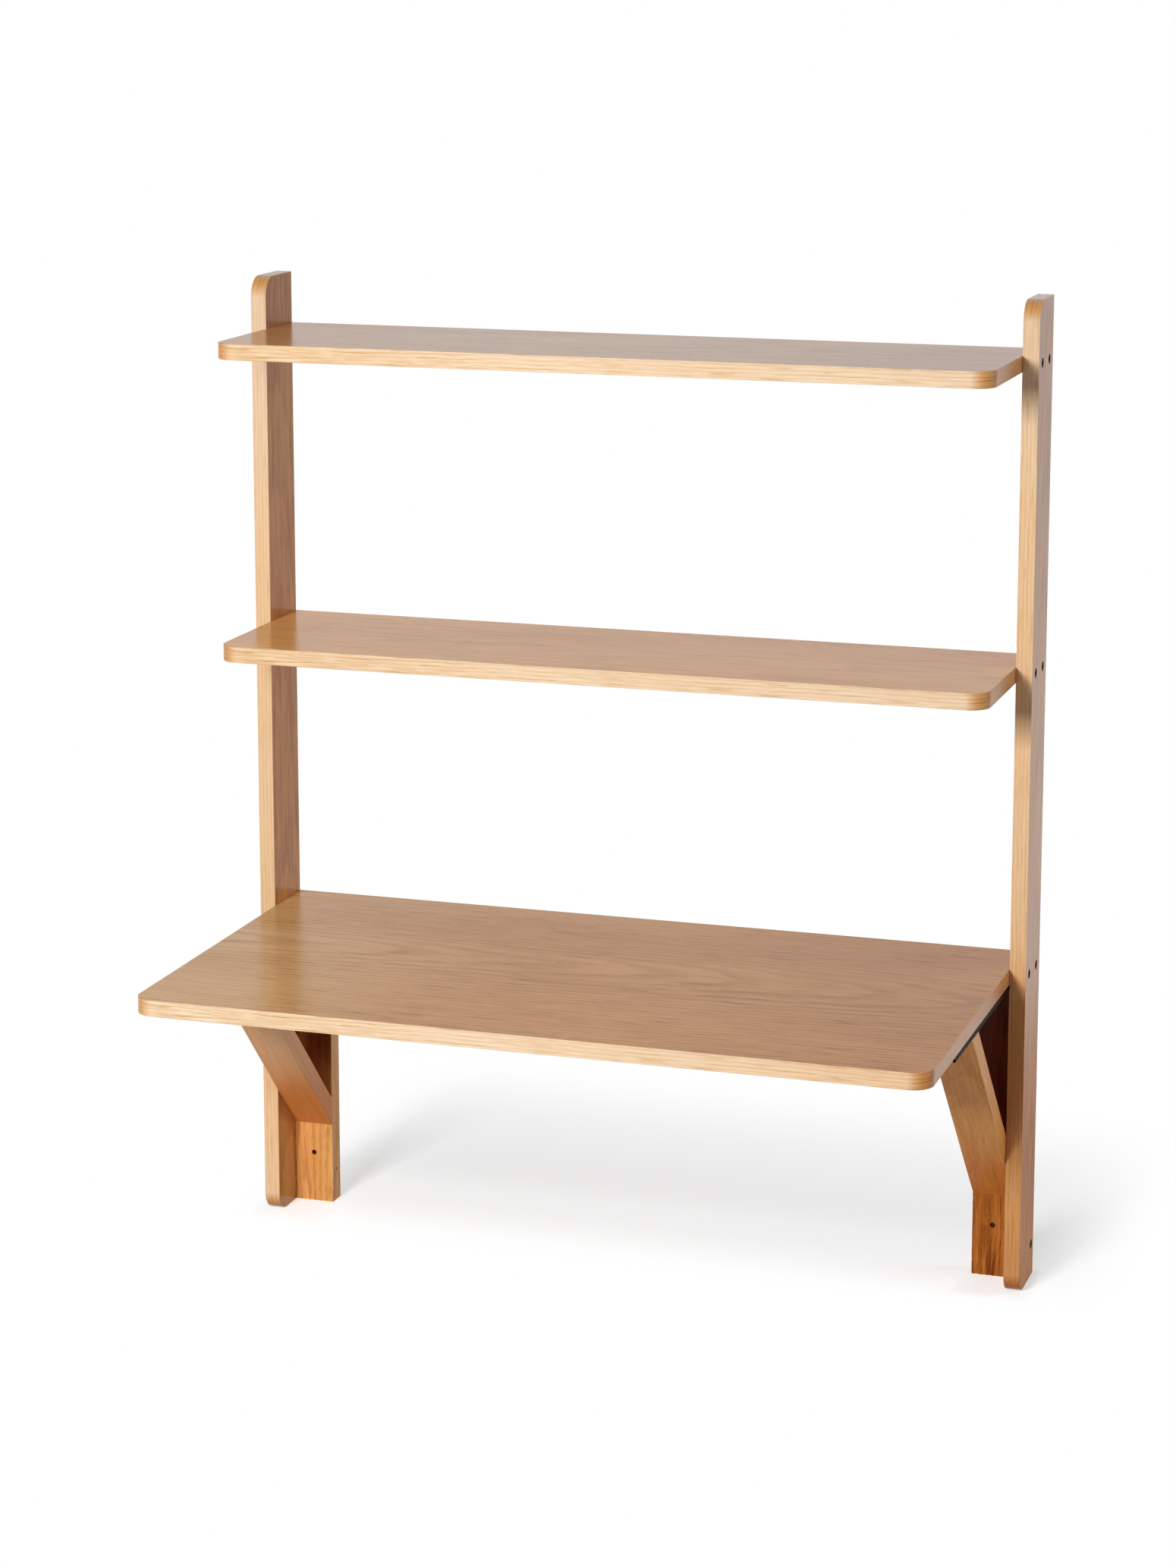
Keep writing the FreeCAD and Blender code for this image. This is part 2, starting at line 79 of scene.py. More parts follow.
def noise(tree, vector, stretch, detail=2.0, roughness=0.5):
    drawn = vectorMaths(tree, "MULTIPLY", vector, stretch)
    values = {"Vector": drawn, "Scale": 1.0, "Detail": detail, "Roughness": roughness}
    return addNode(tree, "ShaderNodeTexNoise", values).outputs["Fac"]


def sway(tree, vector, stretch):
    # noise that swings to either side of zero
    return maths(tree, "SUBTRACT", noise(tree, vector, stretch), 0.5)


def ramp(tree, value, low, high, bottom=0.0, top=1.0):
    values = {"Value": value, "From Min": low, "From Max": high, "To Min": bottom, "To Max": top}
    return addNode(tree, "ShaderNodeMapRange", values, interpolation_type="SMOOTHSTEP").outputs["Result"]


def fall(tree, value, low, high):
    return ramp(tree, value, low, high, 1.0, 0.0)


def blend(tree, factor, first, second, mode="MIX"):
    node = addNode(tree, "ShaderNodeMix", data_type="RGBA", blend_type=mode)
    feed(tree, node.inputs["Factor"], factor)
    feed(tree, node.inputs[6], first)  # colour A
    feed(tree, node.inputs[7], second)  # colour B
    return node.outputs[2]


def tinted(tree, amount, colour, tint):
    return blend(tree, amount, colour, (*tint, 1.0), "MULTIPLY")


def newGroup(name, inputs, outputs):
    tree = bpy.data.node_groups.new(name, "ShaderNodeTree")
    for label, kind in inputs.items():
        tree.interface.new_socket(name=label, in_out="INPUT", socket_type=f"NodeSocket{kind}")
    for label, kind in outputs.items():
        tree.interface.new_socket(name=label, in_out="OUTPUT", socket_type=f"NodeSocket{kind}")
    return tree, tree.nodes.new("NodeGroupInput").outputs, tree.nodes.new("NodeGroupOutput").inputs


def placeGroup(tree, group, values):
    node = tree.nodes.new("ShaderNodeGroup")
    node.node_tree = group
    for name, value in values.items():
        feed(tree, node.inputs[name], value)
    return node.outputs


# oak grain: growth rings cut by the face, fibre streaks and pores
# the grain vector runs along the fibres in X, across the face in Y and into the wood in Z, in metres

oakGrainPattern = {
    "bendStretch": (1.3, 5.0, 5.0), "leanStretch": (2.1, 3.0, 3.0),
    "waveStretch": (7.0, 14.0, 14.0), "waveShare": 0.13,  # of the wander
    "plainStretch": (1.0, 1.0, 1.0), "streakDetail": 3.0, "streakRoughness": 0.6,
    "fineStretch": (3.1, 3.7, 3.7),  # against the streaks
    "fineShare": 0.35, "streakShare": 0.65, "fibreRange": (0.32, 0.68),
    "ringRise": (0.0, 0.10), "ringFall": (0.12, 0.62), "ringRagged": 0.6,  # shares of one ring
    "fleckStretch": (0.75, 0.80, 0.80), "fleckRange": (0.56, 0.72),
    "poreStretch": (65.0, 1000.0, 1000.0), "poreRange": (0.59, 0.69),
    "poresBetween": 0.25, "poresInRings": 0.75,
    "toneStretch": (2.2, 9.0, 9.0), "toneDetail": 1.0, "toneRange": (0.3, 0.7),
    "quietStreaks": 0.6, "busyStreaks": 0.8,  # the second is added as the tone deepens
    "fibreRoughness": 0.10, "poreRoughness": 0.12, "fineHeight": 0.35,
}


def buildOakGrain(pattern):
    tree, given, made = newGroup(
        "oakGrain",
        {"Grain Vector": "Vector", "Streak Stretch": "Vector",
         "Light Wood": "Color", "Dark Wood": "Color", "Warm Tone": "Color",
         "Ring Spacing": "Float", "Pith Depth": "Float", "Pith Lean": "Float", "Wander": "Float",
         "Ring Amount": "Float", "Streak Amount": "Float", "Fleck Amount": "Float", "Pore Amount": "Float",
         "Tone Amount": "Float", "Smoothness": "Float"},
        {"Color": "Color", "Roughness": "Float", "Height": "Float"},
    )
    vector = given["Grain Vector"]
    axes = split(tree, vector)

    # distance from a wandering pith
    bend = sway(tree, vector, pattern["bendStretch"])
    lean = sway(tree, vector, pattern["leanStretch"])
    across = maths(tree, "MULTIPLY_ADD", bend, given["Wander"], axes["Y"])
    sunk = maths(tree, "ADD", axes["Z"], given["Pith Depth"])
    tilted = maths(tree, "MULTIPLY_ADD", axes["X"], given["Pith Lean"], sunk)
    depth = maths(tree, "MULTIPLY_ADD", lean, given["Wander"], tilted)
    squares = maths(tree, "MULTIPLY_ADD", depth, depth, maths(tree, "MULTIPLY", across, across))
    radius = maths(tree, "SQRT", squares)

    # streaks drawn out along the wavy fibres
    wave = maths(tree, "MULTIPLY", sway(tree, vector, pattern["waveStretch"]), given["Wander"])
    waved = maths(tree, "MULTIPLY_ADD", wave, pattern["waveShare"], across)
    wavy = addNode(tree, "ShaderNodeCombineXYZ", {"X": axes["X"], "Y": waved, "Z": axes["Z"]})
    drawn = vectorMaths(tree, "MULTIPLY", wavy.outputs["Vector"], given["Streak Stretch"])
    streaks = noise(tree, drawn, pattern["plainStretch"],
                    pattern["streakDetail"], pattern["streakRoughness"])
    fine = noise(tree, drawn, pattern["fineStretch"])
    coarse = maths(tree, "MULTIPLY", streaks, pattern["streakShare"])
    fibre = maths(tree, "MULTIPLY_ADD", fine, pattern["fineShare"], coarse)

    # rings, flecks, pores and a slow change of tone
    years = maths(tree, "DIVIDE", radius, given["Ring Spacing"])
    saw = maths(tree, "FRACT", maths(tree, "MULTIPLY_ADD", streaks, pattern["ringRagged"], years))
    ringFall = fall(tree, saw, *pattern["ringFall"])
    rings = maths(tree, "MULTIPLY", ramp(tree, saw, *pattern["ringRise"]), ringFall)
    flecks = ramp(tree, noise(tree, drawn, pattern["fleckStretch"]), *pattern["fleckRange"])
    poreNoise = ramp(tree, noise(tree, vector, pattern["poreStretch"]), *pattern["poreRange"])
    poreShare = maths(tree, "MULTIPLY_ADD", rings, pattern["poresInRings"], pattern["poresBetween"])
    pores = maths(tree, "MULTIPLY", poreNoise, poreShare)
    slow = noise(tree, vector, pattern["toneStretch"], pattern["toneDetail"])
    tone = ramp(tree, slow, *pattern["toneRange"])

    busy = maths(tree, "MULTIPLY_ADD", tone, pattern["busyStreaks"], pattern["quietStreaks"])
    streaked = maths(tree, "MULTIPLY", busy, given["Streak Amount"])
    shade = maths(tree, "MULTIPLY", ramp(tree, fibre, *pattern["fibreRange"]), streaked)
    shade = maths(tree, "MULTIPLY_ADD", rings, given["Ring Amount"], shade)
    shade = maths(tree, "MULTIPLY_ADD", flecks, given["Fleck Amount"], shade)
    shade = maths(tree, "MULTIPLY_ADD", pores, given["Pore Amount"], shade, clamp=True)
    wood = blend(tree, shade, given["Light Wood"], given["Dark Wood"])
    warm = maths(tree, "MULTIPLY", tone, given["Tone Amount"])
    feed(tree, made["Color"], blend(tree, warm, wood, given["Warm Tone"], "MULTIPLY"))
    rough = maths(tree, "MULTIPLY_ADD", fibre, pattern["fibreRoughness"], given["Smoothness"])
    feed(tree, made["Roughness"], maths(tree, "MULTIPLY_ADD", pores, pattern["poreRoughness"], rough))
    sunkPores = maths(tree, "MULTIPLY", pores, -1.0)
    feed(tree, made["Height"], maths(tree, "MULTIPLY_ADD", fine, pattern["fineHeight"], sunkPores))
    return tree


# the path of an edge band: straight in front, round two corners, straight along the ends

bandPathPattern = {
    "creaseStretch": (5.0, 400.0, 0.0), "creaseDetail": 1.0, "creaseRange": (0.54, 0.68),
    "endTurn": (0.9, math.pi / 2),  # radians round the corner
}


def buildBandPath(pattern):
    tree, given, made = newGroup(
        "bandPath",
        {"Vector": "Vector", "Corner Reach": "Float", "Corner Front": "Float", "Corner Radius": "Float"},
        {"Grain Vector": "Vector", "Bend": "Float", "Creases": "Float", "End": "Float"},
    )
    axes = split(tree, given["Vector"])
    reach = maths(tree, "ABSOLUTE", axes["X"])
    front = maths(tree, "MULTIPLY", axes["Y"], -1.0)
    aside = maths(tree, "MAXIMUM", maths(tree, "SUBTRACT", reach, given["Corner Reach"]), 0.0)
    ahead = maths(tree, "MAXIMUM", maths(tree, "SUBTRACT", front, given["Corner Front"]), 0.0)
    behind = maths(tree, "MAXIMUM", maths(tree, "SUBTRACT", given["Corner Front"], front), 0.0)
    turn = maths(tree, "ARCTAN2", aside, ahead)
    straight = maths(tree, "ADD", maths(tree, "MINIMUM", reach, given["Corner Reach"]), behind)
    length = maths(tree, "MULTIPLY_ADD", turn, given["Corner Radius"], straight)
    sided = maths(tree, "MULTIPLY", length, maths(tree, "SIGN", axes["X"]))
    laidOut = addNode(tree, "ShaderNodeCombineXYZ", {"X": sided, "Y": axes["Z"]}).outputs["Vector"]
    feed(tree, made["Grain Vector"], laidOut)
    bend = maths(tree, "SINE", maths(tree, "MULTIPLY", turn, 2.0))  # full in the middle of the corner
    feed(tree, made["Bend"], bend)
    lines = noise(tree, laidOut, pattern["creaseStretch"], pattern["creaseDetail"])
    creases = ramp(tree, lines, *pattern["creaseRange"])
    feed(tree, made["Creases"], maths(tree, "MULTIPLY", creases, bend))
    feed(tree, made["End"], ramp(tree, turn, *pattern["endTurn"]))
    return tree


# wear along the edges of a squared timber: paler, in small chips

edgeWearPattern = {
    "chipStretch": (160.0, 160.0, 90.0), "chipDetail": 3.0, "chipRoughness": 0.65,
    "chipRange": (0.42, 0.78),
}


def buildEdgeWear(pattern):
    tree, given, made = newGroup(
        "edgeWear",
        {"Vector": "Vector", "Centre": "Vector", "Half Size": "Vector", "Width": "Float", "Chips": "Float"},
        {"Worn": "Float"},
    )
    offset = vectorMaths(tree, "SUBTRACT", given["Vector"], given["Centre"])
    aside = vectorMaths(tree, "ABSOLUTE", offset)
    inward = split(tree, vectorMaths(tree, "SUBTRACT", given["Half Size"], aside))
    smaller = maths(tree, "MINIMUM", inward["X"], inward["Y"])
    larger = maths(tree, "MAXIMUM", inward["X"], inward["Y"])
    capped = maths(tree, "MINIMUM", larger, inward["Z"])
    toEdge = maths(tree, "MAXIMUM", smaller, capped)  # middle one of the three
    uneven = noise(tree, given["Vector"], pattern["chipStretch"],
                   pattern["chipDetail"], pattern["chipRoughness"])
    reach = maths(tree, "MULTIPLY", ramp(tree, uneven, *pattern["chipRange"]), given["Width"])
    close = maths(tree, "LESS_THAN", toEdge, reach)
    feed(tree, made["Worn"], maths(tree, "MULTIPLY", close, given["Chips"]))
    return tree


# uneven patches and fine speckle for steel

steelPattern = {
    "patchStretch": (70.0, 70.0, 70.0), "patchDetail": 4.0, "patchRoughness": 0.65,
    "patchRange": (0.52, 0.75), "patchDulling": 0.18, "speckleStretch": (1400.0, 1400.0, 1400.0),
}


def buildSteelSurface(pattern):
    tree, given, made = newGroup(
        "steelSurface",
        {"Vector": "Vector", "Base": "Color", "Worn": "Color",
         "Wear Amount": "Float", "Smoothness": "Float"},
        {"Color": "Color", "Roughness": "Float", "Height": "Float"},
    )
    vector = given["Vector"]
    patches = noise(tree, vector, pattern["patchStretch"],
                    pattern["patchDetail"], pattern["patchRoughness"])
    worn = maths(tree, "MULTIPLY", ramp(tree, patches, *pattern["patchRange"]), given["Wear Amount"])
    feed(tree, made["Color"], blend(tree, worn, given["Base"], given["Worn"]))
    dulled = maths(tree, "MULTIPLY_ADD", patches, pattern["patchDulling"], given["Smoothness"])
    feed(tree, made["Roughness"], dulled)
    feed(tree, made["Height"], noise(tree, vector, pattern["speckleStretch"]))
    return tree


oakGrain = buildOakGrain(oakGrainPattern)
bandPath = buildBandPath(bandPathPattern)
edgeWear = buildEdgeWear(edgeWearPattern)
steelSurface = buildSteelSurface(steelPattern)
print("node groups built: oakGrain, bandPath, edgeWear, steelSurface")


# materials

def emptyMaterial(name):
    material = bpy.data.materials.new(name)
    material.use_nodes = True
    tree = material.node_tree
    tree.nodes.clear()
    output = tree.nodes.new("ShaderNodeOutputMaterial")
    return material, tree, output.inputs["Surface"]


def newMaterial(name):
    material, tree, surface = emptyMaterial(name)
    shader = tree.nodes.new("ShaderNodeBsdfPrincipled")
    tree.links.new(shader.outputs["BSDF"], surface)
    return material, tree, shader


def finishSurface(tree, shader, colour, roughness, height, look):
    feed(tree, shader.inputs["Base Color"], colour)
    feed(tree, shader.inputs["Roughness"], roughness)
    values = {"Height": height, "Strength": look["bumpStrength"], "Distance": look["bumpDepth"]}
    bump = addNode(tree, "ShaderNodeBump", values)
    tree.links.new(bump.outputs["Normal"], shader.inputs["Normal"])
    shader.inputs["Specular IOR Level"].default_value = look["specular"]


def grainTurn(along, across):
    # rotation that brings the wood's own directions onto the grain vector
    alongAxis = Vector(along).normalized()
    acrossAxis = Vector(across).normalized()
    return Matrix((alongAxis, acrossAxis, alongAxis.cross(acrossAxis))).to_euler()


def woodCoords(tree, turn, offset):
    # the piece's coordinates as they are, and turned and moved for its figure
    coords = tree.nodes.new("ShaderNodeTexCoord").outputs["Object"]
    values = {"Vector": coords, "Rotation": turn, "Location": offset}
    return coords, addNode(tree, "ShaderNodeMapping", values).outputs["Vector"]


def placeGrain(tree, vector, look):
    return placeGroup(tree, oakGrain, {
        "Grain Vector": vector, "Streak Stretch": look["streakStretch"],
        "Light Wood": (*look["light"], 1.0), "Dark Wood": (*look["dark"], 1.0),
        "Warm Tone": (*look["warm"], 1.0), "Ring Spacing": look["ringSpacing"],
        "Pith Depth": look["pithDepth"], "Pith Lean": look["pithLean"], "Wander": look["wander"],
        "Ring Amount": look["rings"], "Streak Amount": look["streaks"], "Fleck Amount": look["flecks"],
        "Pore Amount": look["pores"], "Tone Amount": look["tone"], "Smoothness": look["smoothness"],
    })


def paintedFade(axis, start, full, tint, dulled=0.0):
    # painted light and shade: a slow change along a piece, from nothing at start to the whole tint and
    # added roughness at full
    return {"axis": axis, "start": start, "full": full, "tint": tint, "dulled": dulled}


def finishWood(tree, shader, coords, colour, grain, look):
    axes = split(tree, coords)
    roughness = grain["Roughness"]
    # painted light and shade along the piece
    for change in look.get("fades", ()):
        amount = ramp(tree, axes[change["axis"]], change["start"], change["full"])
        colour = tinted(tree, amount, colour, change["tint"])
        roughness = maths(tree, "MULTIPLY_ADD", amount, change["dulled"], roughness)
    finishSurface(tree, shader, colour, roughness, grain["Height"], look)


def oakMaterial(name, look, turn):
    material, tree, shader = newMaterial(name)
    coords, vector = woodCoords(tree, turn, look["figurePlace"])
    grain = placeGrain(tree, vector, look)
    finishWood(tree, shader, coords, grain["Color"], grain, look)
    return material


def paintedBoreShade(tree, coords, colour, look, boreX):
    # painted shade: the wall screw's hole, level with the origin, is darker inside
    axes = split(tree, coords)
    aside = maths(tree, "SUBTRACT", axes["X"], boreX)
    squares = maths(tree, "MULTIPLY_ADD", aside, aside, maths(tree, "MULTIPLY", axes["Z"], axes["Z"]))
    rim = look["boreRadius"] + look["boreRim"]
    inside = fall(tree, maths(tree, "SQRT", squares), look["boreRadius"], rim)
    return tinted(tree, inside, colour, look["boreShadeTint"])


def shadedBehind(tree, coords, colour, look):
    # the front is darker where the brace has kept the light off it
    normal = tree.nodes.new("ShaderNodeNewGeometry").outputs["Normal"]
    front = maths(tree, "MULTIPLY", split(tree, normal)["Y"], -1.0, clamp=True)
    above = ramp(tree, split(tree, coords)["Z"], *look["behindLevels"])
    return tinted(tree, maths(tree, "MULTIPLY", above, front), colour, look["behindTint"])


def timberMaterial(name, look, turn, middle, box):
    # middle is where the batten stands in X, so each side of the desk has its own figure
    material, tree, shader = newMaterial(name)
    figurePlace = (look["figureShare"] * middle, look["figureAside"] - middle, 0.0)
    coords, vector = woodCoords(tree, turn, figurePlace)
    grain = placeGrain(tree, vector, look)
    low, high = Vector(box[0]), Vector(box[1])
    worn = placeGroup(tree, edgeWear, {
        "Vector": coords, "Centre": (low + high) / 2, "Half Size": (high - low) / 2,
        "Width": look["wearWidth"], "Chips": look["wearAmount"]})
    colour = blend(tree, worn["Worn"], grain["Color"], (*look["wearColour"], 1.0))
    # painted shade inside the wall screw's hole
    if "boreShadeTint" in look:
        colour = paintedBoreShade(tree, coords, colour, look, middle)
    if "behindTint" in look:
        colour = shadedBehind(tree, coords, colour, look)
    finishWood(tree, shader, coords, colour, grain, look)
    return material


def bandMaterial(name, look, turn, offset, halfLength, front):
    # half length and front are taken to the outside of the bent corners
    material, tree, shader = newMaterial(name)
    coords, vector = woodCoords(tree, turn, offset)
    radius = look["cornerRadius"]
    path = placeGroup(tree, bandPath, {
        "Vector": vector, "Corner Reach": halfLength - radius, "Corner Front": front - radius,
        "Corner Radius": radius})
    grain = placeGrain(tree, path["Grain Vector"], look)
    colour = grain["Color"]
    # painted shade, deeper orange round each bent corner and along the ends; darker creases across the bend
    for mask, part in (("Bend", "bend"), ("Creases", "crease"), ("End", "end")):
        amount = maths(tree, "MULTIPLY", path[mask], look[f"{part}Amount"])
        colour = tinted(tree, amount, colour, look[f"{part}Tint"])
    finishWood(tree, shader, coords, colour, grain, look)
    return material


def steelMaterial(name, look):
    material, tree, shader = newMaterial(name)
    coords = tree.nodes.new("ShaderNodeTexCoord").outputs["Object"]
    surface = placeGroup(tree, steelSurface, {
        "Vector": coords, "Base": (*look["base"], 1.0), "Worn": (*look["worn"], 1.0),
        "Wear Amount": look["wear"], "Smoothness": look["smoothness"]})
    finishSurface(tree, shader, surface["Color"], surface["Roughness"], surface["Height"], look)
    shader.inputs["Metallic"].default_value = look["metallic"]
    return material


def dress(name, material):
    mesh = nodes[name].data
    mesh.materials.clear()
    mesh.materials.append(material)


alongX = grainTurn((1, 0, 0), (0, 1, 0))  # fibres along the wall, faces up and down
alongZ = grainTurn((0, 0, 1), (0, 1, 0))  # fibres upright, faces to the sides
alongZFlat = grainTurn((0, 0, 1), (1, 0, 0))  # fibres upright, faces to the front and back

# veneered faces of the shelves, the desk top and the uprights
veneer = {
    "light": (0.77, 0.382, 0.124), "dark": (0.42, 0.168, 0.045), "warm": (0.95, 0.88, 0.74),
    "streakStretch": (12.0, 195.0, 195.0),
    "ringSpacing": 0.0085, "pithDepth": 0.05, "pithLean": 0.05, "wander": 0.035,
    "rings": 0.24, "streaks": 0.40, "flecks": 0.46, "pores": 0.35, "tone": 0.8,
    "smoothness": 0.16, "bumpStrength": 0.10, "bumpDepth": 0.0003, "specular": 0.12,
}
boardLooks = {
    # painted shade along the board: darker towards the right end, deeper orange towards the left end
    "top_shelf": dict(
        veneer, figurePlace=(0.37, 0.11, -1.06),
        fades=[paintedFade("X", 0.15, 0.46, (0.86, 0.80, 0.78)), paintedFade("X", -0.25, -0.44, (1.0, 0.84, 0.70))]),
    # painted sheen: paler and cooler towards the left end
    "middle_shelf": dict(
        veneer, figurePlace=(-0.62, 0.15, -0.66),
        light=(0.96, 0.485, 0.145), dark=(0.66, 0.295, 0.075), streaks=0.60, flecks=0.68,
        fades=[paintedFade("X", 0.0, -0.28, (1.03, 1.08, 1.12))]),
    # painted shade darker towards the right end; painted sheen, paler and cooler, towards the left end
    "desk_top": dict(
        veneer, figurePlace=(0.18, 0.24, -0.30), light=(0.778, 0.414, 0.146),
        streakStretch=(19.0, 240.0, 240.0), rings=0.30, streaks=0.36, flecks=0.50, pores=0.50,
        smoothness=0.19,
        fades=[paintedFade("X", 0.0, 0.48, (0.90, 0.82, 0.78)), paintedFade("X", -0.12, -0.46, (1.05, 1.21, 1.55))]),
}
uprightLooks = {
    "left_upright": dict(
        veneer, figurePlace=(0.3, 0.05, -0.42), light=(0.78, 0.40, 0.142), streaks=0.52, flecks=0.60),
    # painted shade: deeper and darker towards the top, and deeper and duller below the desk; painted light:
    # paler again at the foot
    "right_upright": dict(
        veneer, figurePlace=(-0.9, 0.03, 0.55),
        light=(0.67, 0.30, 0.085), dark=(0.36, 0.13, 0.030), streaks=0.62, flecks=0.80,
        fades=[paintedFade("Z", 0.45, 0.95, (0.90, 0.80, 0.71)),
               paintedFade("Z", 0.38, 0.13, (0.92, 0.79, 0.68), dulled=0.22),
               paintedFade("Z", 0.08, -0.02, (1.14, 1.26, 1.35))]),
}
for board, look in boardLooks.items():
    dress(board, oakMaterial(f"oakFace_{board}", look, alongX))
for upright, look in uprightLooks.items():
    dress(upright, oakMaterial(f"oakFace_{upright}", look, alongZ))
print("veneered faces dressed")

# edge bands: painted light, paler than the faces; painted shade, orange where they are bent round a corner
# and along the ends
edgeBand = {
    "light": (0.83, 0.65, 0.465), "dark": (0.56, 0.325, 0.135), "warm": (1.0, 0.95, 0.86),
    "streakStretch": (20.0, 400.0, 400.0), "figureAside": 0.05,
    "ringSpacing": 0.0048, "pithDepth": 0.010, "pithLean": 0.004, "wander": 0.016,
    "rings": 0.24, "streaks": 0.44, "flecks": 0.46, "pores": 0.25, "tone": 0.7,
    # painted shade round each bend and along the ends
    "cornerRadius": 0.025, "bendAmount": 1.0, "bendTint": (0.84, 0.57, 0.29),
    "creaseAmount": 0.55, "creaseTint": (0.60, 0.42, 0.28),
    "endAmount": 0.85, "endTint": (0.90, 0.53, 0.25),
    "smoothness": 0.20, "bumpStrength": 0.12, "bumpDepth": 0.0003, "specular": 0.15,
}
boardBands = {
    "top_shelf": edgeBand,
    "middle_shelf": edgeBand,
    # painted shade darker towards the right end; painted sheen, paler and cooler, towards the left end
    "desk_top": dict(
        edgeBand,
        fades=[paintedFade("X", 0.10, 0.48, (0.97, 0.88, 0.78)), paintedFade("X", -0.26, -0.44, (1.03, 1.10, 1.20))]),
}
uprightBands = {
    # painted sheen: paler and cooler towards the top; painted light: paler towards the foot
    "left_upright": dict(
        edgeBand, light=(0.79, 0.56, 0.345), dark=(0.54, 0.29, 0.105), streaks=0.28, flecks=0.24,
        endAmount=0.0,
        fades=[paintedFade("Z", 0.80, 1.10, (0.97, 1.06, 1.26)), paintedFade("Z", 0.25, 0.10, (1.16, 1.14, 1.18))]),
    # painted sheen: paler and cooler towards the top; painted shadow of the desk: darker and deeper orange
    # from under the desk down, darker still at the foot
    "right_upright": dict(
        edgeBand, light=(0.82, 0.575, 0.35), dark=(0.56, 0.30, 0.11), streaks=0.36, flecks=0.36,
        endAmount=0.0,
        fades=[paintedFade("Z", 0.85, 1.10, (1.0, 1.10, 1.30)),
               paintedFade("Z", 0.40, 0.28, (0.87, 0.64, 0.44)),
               paintedFade("Z", 0.06, -0.03, (0.91, 0.86, 0.82))]),
}
for board, look in boardBands.items():
    low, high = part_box(f"{board}_edge_band")
    offset = (0.0, 0.0, look["figureAside"] - (low[2] + high[2]) / 2)
    dress(f"{board}_edge_band", bandMaterial(
        f"oakBand_{board}", look, alongX, offset, high[0], -low[1]))
for upright, look in uprightBands.items():
    low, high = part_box(f"{upright}_edge_band")
    offset = (-(low[2] + high[2]) / 2, 0.0, look["figureAside"] + (low[0] + high[0]) / 2)
    halfLength = (high[2] - low[2]) / 2
    dress(f"{upright}_edge_band", bandMaterial(
        f"oakBand_{upright}", look, alongZ, offset, halfLength, -low[1]))
print("edge bands dressed")

# solid oak battens and braces
timber = {
    "light": (0.76, 0.345, 0.105), "dark": (0.38, 0.130, 0.028), "warm": (1.0, 0.92, 0.78),
    "streakStretch": (22.0, 330.0, 330.0),
    "ringSpacing": 0.0070, "pithDepth": 0.035, "pithLean": 0.05, "wander": 0.030,
    "rings": 0.32, "streaks": 0.46, "flecks": 0.48, "pores": 0.35, "tone": 0.9,
    "wearColour": (0.86, 0.58, 0.28), "wearWidth": 0.0020, "wearAmount": 0.75,
    "smoothness": 0.30, "bumpStrength": 0.15, "bumpDepth": 0.0003, "specular": 0.10,
}
battenTimber = dict(
    timber, figureShare=0.2, figureAside=0.006,
    # painted shade inside the wall screw's hole and on the front behind the brace
    boreRadius=0.003, boreRim=0.0008, boreShadeTint=(0.22, 0.14, 0.10),
    behindLevels=(0.07, 0.16), behindTint=(0.30, 0.165, 0.13))
battenTimbers = {
    "left": dict(
        battenTimber, light=(0.87, 0.45, 0.165), dark=(0.46, 0.185, 0.048),
        streakStretch=(26.0, 260.0, 260.0), wander=0.055, rings=0.30, streaks=0.32, flecks=0.40, pores=0.5),
    # painted shade: the right batten is far darker than the left one, for the shade that falls on it
    "right": dict(
        battenTimber, light=(0.54, 0.188, 0.036), dark=(0.185, 0.045, 0.006),
        streakStretch=(18.0, 300.0, 300.0), wander=0.050, streaks=0.50, flecks=0.62, pores=0.85),
}
# painted light: braces paler than the battens, for light thrown up from the floor, the left one palest
braceTimber = dict(timber, figureShare=0.7, figureAside=-0.004, rings=0.16, wearAmount=0.4)
braceTimbers = {
    "left": dict(
        braceTimber, light=(0.97, 0.55, 0.275), dark=(0.78, 0.38, 0.165),
        streakStretch=(7.0, 280.0, 280.0), streaks=0.44, flecks=0.34,
        # painted shade: darker towards the foot
        fades=[paintedFade("Z", 0.20, 0.08, (0.82, 0.52, 0.28))]),
    "right": dict(
        braceTimber, light=(0.98, 0.485, 0.146), dark=(0.70, 0.28, 0.068),
        streakStretch=(15.0, 300.0, 300.0), wander=0.036, streaks=0.62, flecks=0.42, pores=0.7,
        # painted shade: darker towards the foot
        fades=[paintedFade("Z", 0.17, 0.08, (0.82, 0.62, 0.40))]),
}
for side in ("left", "right"):
    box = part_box(f"{side}_wall_batten")
    middle = (box[0][0] + box[1][0]) / 2
    dress(f"{side}_wall_batten", timberMaterial(
        f"oakTimber_{side}Batten", battenTimbers[side], alongZFlat, middle, box))
    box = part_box(f"{side}_brace")
    slant = grainTurn((0.0, box[0][1] - box[1][1], box[1][2] - box[0][2]), (1, 0, 0))
    dress(f"{side}_brace", timberMaterial(
        f"oakTimber_{side}Brace", braceTimbers[side], slant, middle, box))
print("timbers dressed")

